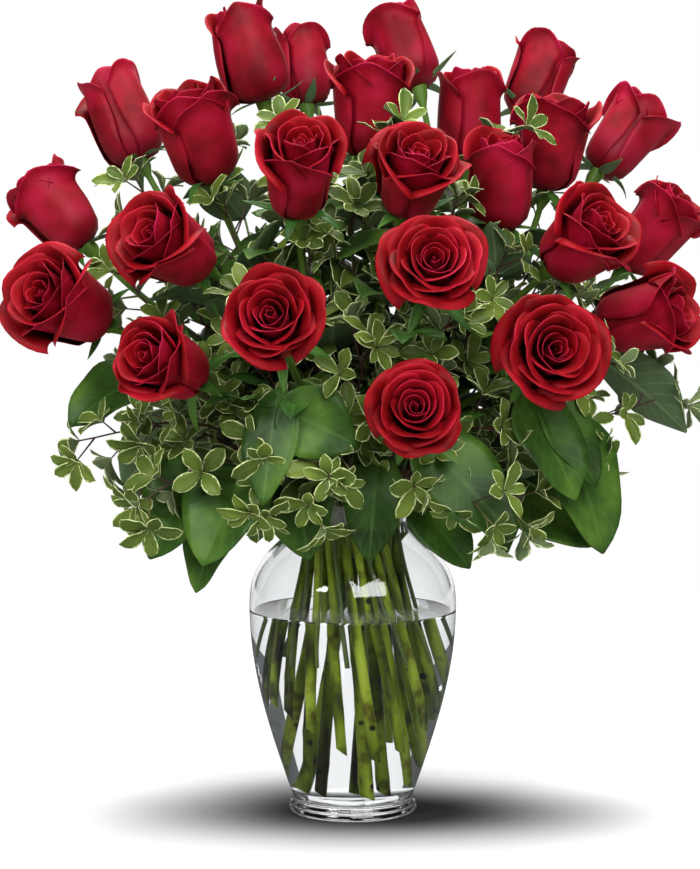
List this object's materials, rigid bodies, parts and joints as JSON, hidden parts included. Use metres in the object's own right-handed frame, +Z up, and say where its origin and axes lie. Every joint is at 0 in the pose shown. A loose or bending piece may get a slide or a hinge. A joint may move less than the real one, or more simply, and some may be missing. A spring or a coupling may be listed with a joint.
{
  "type": "roses in a vase",
  "caption": "Long-stemmed roses with sprays of broad and variegated leaves, standing in water in a clear glass vase with a swelling body, a ring foot and a flared lip.",
  "frame": {"origin": "middle of the vase's round foot, on the surface it stands on", "axes": "+Z up along the vase's axis; the arrangement's front, where most blooms face, is towards -Y, and +X is to the right of someone looking at the front"},
  "size_m": [0.5173, 0.3886, 0.6057],
  "materials": {
    "glass": "clear and polished",
    "water": "clear water",
    "petal": "soft velvety red petal",
    "stem": "smooth green stem with thorn scars",
    "salal_leaf": "glossy broad green leaf",
    "pittosporum_leaf": "grey-green leaf with a cream margin"
  },
  "bodies": {
    "root": {"vase": "glass", "water": "water", "rose_01_bloom": "petal", "rose_01_stem": "stem", "rose_02_bloom": "petal", "rose_02_stem": "stem", "rose_03_bloom": "petal", "rose_03_stem": "stem", "rose_04_bloom": "petal", "rose_04_stem": "stem", "rose_05_bloom": "petal", "rose_05_stem": "stem", "rose_06_bloom": "petal", "rose_06_stem": "stem", "rose_07_bloom": "petal", "rose_07_stem": "stem", "rose_08_bloom": "petal", "rose_08_stem": "stem", "rose_09_bloom": "petal", "rose_09_stem": "stem", "rose_10_bloom": "petal", "rose_10_stem": "stem", "rose_11_bloom": "petal", "rose_11_stem": "stem", "rose_12_bloom": "petal", "rose_12_stem": "stem", "rose_13_bloom": "petal", "rose_13_stem": "stem", "rose_14_bloom": "petal", "rose_14_stem": "stem", "rose_15_bloom": "petal", "rose_15_stem": "stem", "rose_16_bloom": "petal", "rose_16_stem": "stem", "rose_17_bloom": "petal", "rose_17_stem": "stem", "rose_18_bloom": "petal", "rose_18_stem": "stem", "rose_19_bloom": "petal", "rose_19_stem": "stem", "rose_20_bloom": "petal", "rose_20_stem": "stem", "rose_21_bloom": "petal", "rose_21_stem": "stem", "rose_22_bloom": "petal", "rose_22_stem": "stem", "rose_23_bloom": "petal", "rose_23_stem": "stem", "rose_24_bloom": "petal", "rose_24_stem": "stem", "salal_1": "salal_leaf", "salal_2": "salal_leaf", "salal_3": "salal_leaf", "salal_4": "salal_leaf", "salal_5": "salal_leaf", "pittosporum_1": "pittosporum_leaf", "pittosporum_2": "pittosporum_leaf", "pittosporum_3": "pittosporum_leaf", "pittosporum_4": "pittosporum_leaf", "pittosporum_5": "pittosporum_leaf"}
  },
  "joints": []
}
